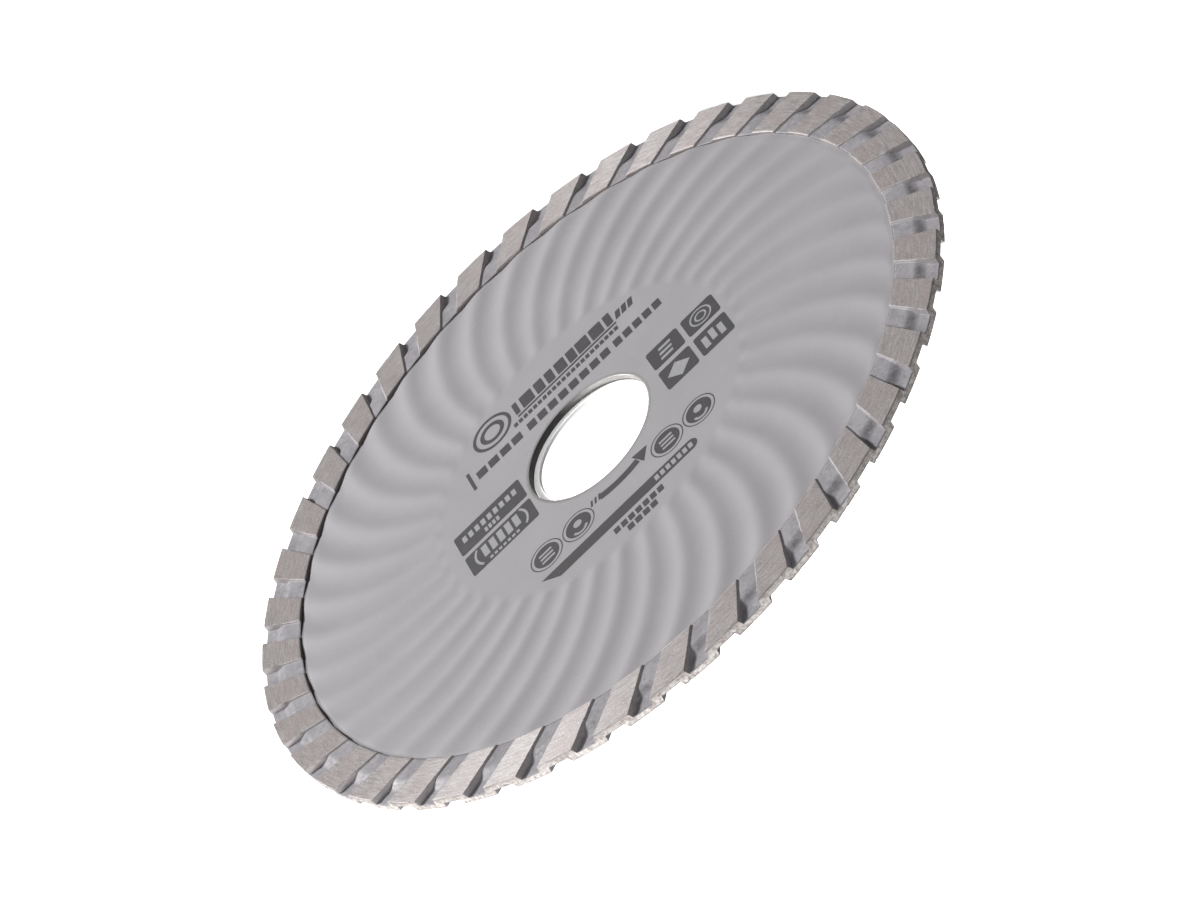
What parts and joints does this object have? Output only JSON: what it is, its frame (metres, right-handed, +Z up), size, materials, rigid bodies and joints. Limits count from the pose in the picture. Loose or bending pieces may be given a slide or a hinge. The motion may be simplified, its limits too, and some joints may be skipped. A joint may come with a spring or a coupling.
{
  "type": "diamond blade",
  "caption": "Upright turbo diamond cutting disc with a slant-notched sintered rim, a spiral-waved steel core and a loose reducing ring in its bore.",
  "frame": {"origin": "centre of the bore, halfway through the steel core", "axes": "+Y along the spindle axis and out of the back face, so the marked front face looks towards -Y; +Z up in the disc's plane"},
  "size_m": [0.125, 0.002, 0.125],
  "materials": {
    "painted_steel": "satin silver-grey paint",
    "sintered_rim": "sintered metal bond with diamond grit, ground on its faces",
    "bright_steel": "bare turned steel"
  },
  "bodies": {
    "blade": {"steel_core": "painted_steel", "diamond_rim": "sintered_rim"},
    "ring": {"reducing_ring": "bright_steel"}
  },
  "joints": [
    {"name": "ring_slide", "type": "slide", "parent": "blade", "child": "ring", "axis": [0, 1, 0], "range_m": [-0.0007, 0.01]}
  ]
}
